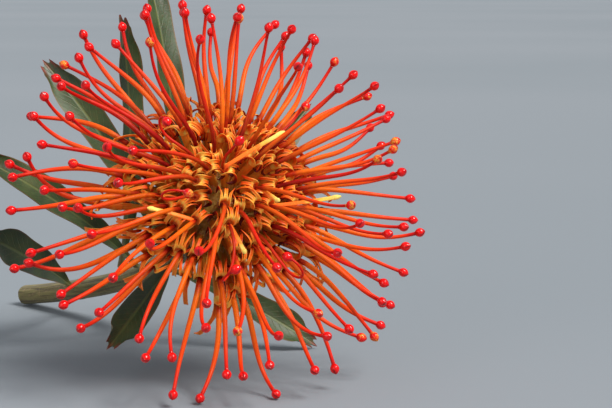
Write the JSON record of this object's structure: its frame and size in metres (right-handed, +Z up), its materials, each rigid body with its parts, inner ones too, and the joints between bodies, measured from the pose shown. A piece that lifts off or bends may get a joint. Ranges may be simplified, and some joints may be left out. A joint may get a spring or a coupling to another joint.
{
  "type": "pincushion protea flower",
  "caption": "Cut pincushion protea lying on its side: a round head of long orange styles with red knobs, a woody stem and leathery toothed leaves.",
  "frame": {"origin": "on the resting surface, under the middle of the flower's bounding box", "axes": "+Z up, -Y the way the flower head faces, +Y towards the cut end of the stem"},
  "size_m": [0.1065, 0.1601, 0.1051],
  "materials": {
    "floret": "satin",
    "receptacle": "matte",
    "stem": "matte",
    "leaf": "satin",
    "bract": "matte"
  },
  "bodies": {
    "root": {"floret_tuft_01": "floret", "floret_tuft_02": "floret", "floret_tuft_03": "floret", "floret_tuft_04": "floret", "floret_tuft_05": "floret", "floret_tuft_06": "floret", "floret_tuft_07": "floret", "floret_tuft_08": "floret", "floret_tuft_09": "floret", "floret_tuft_10": "floret", "floret_tuft_11": "floret", "floret_tuft_12": "floret", "floret_tuft_13": "floret", "floret_tuft_14": "floret", "floret_tuft_15": "floret", "floret_tuft_16": "floret", "floret_tuft_17": "floret", "floret_tuft_18": "floret", "floret_tuft_19": "floret", "floret_tuft_20": "floret", "floret_tuft_21": "floret", "floret_tuft_22": "floret", "floret_tuft_23": "floret", "floret_tuft_24": "floret", "floret_tuft_25": "floret", "floret_tuft_26": "floret", "floret_tuft_27": "floret", "floret_tuft_28": "floret", "floret_tuft_29": "floret", "floret_tuft_30": "floret", "floret_tuft_31": "floret", "floret_tuft_32": "floret", "floret_tuft_33": "floret", "floret_tuft_34": "floret", "floret_tuft_35": "floret", "floret_tuft_36": "floret", "floret_tuft_37": "floret", "floret_tuft_38": "floret", "floret_tuft_39": "floret", "floret_tuft_40": "floret", "receptacle": "receptacle", "stem": "stem", "leaf_1": "leaf", "leaf_2": "leaf", "leaf_3": "leaf", "leaf_4": "leaf", "leaf_5": "leaf", "leaf_6": "leaf", "leaf_7": "leaf", "leaf_8": "leaf", "leaf_9": "leaf", "involucral_bract_1": "bract", "involucral_bract_2": "bract", "involucral_bract_3": "bract", "involucral_bract_4": "bract", "involucral_bract_5": "bract", "involucral_bract_6": "bract", "involucral_bract_7": "bract", "involucral_bract_8": "bract", "involucral_bract_9": "bract"}
  },
  "joints": []
}
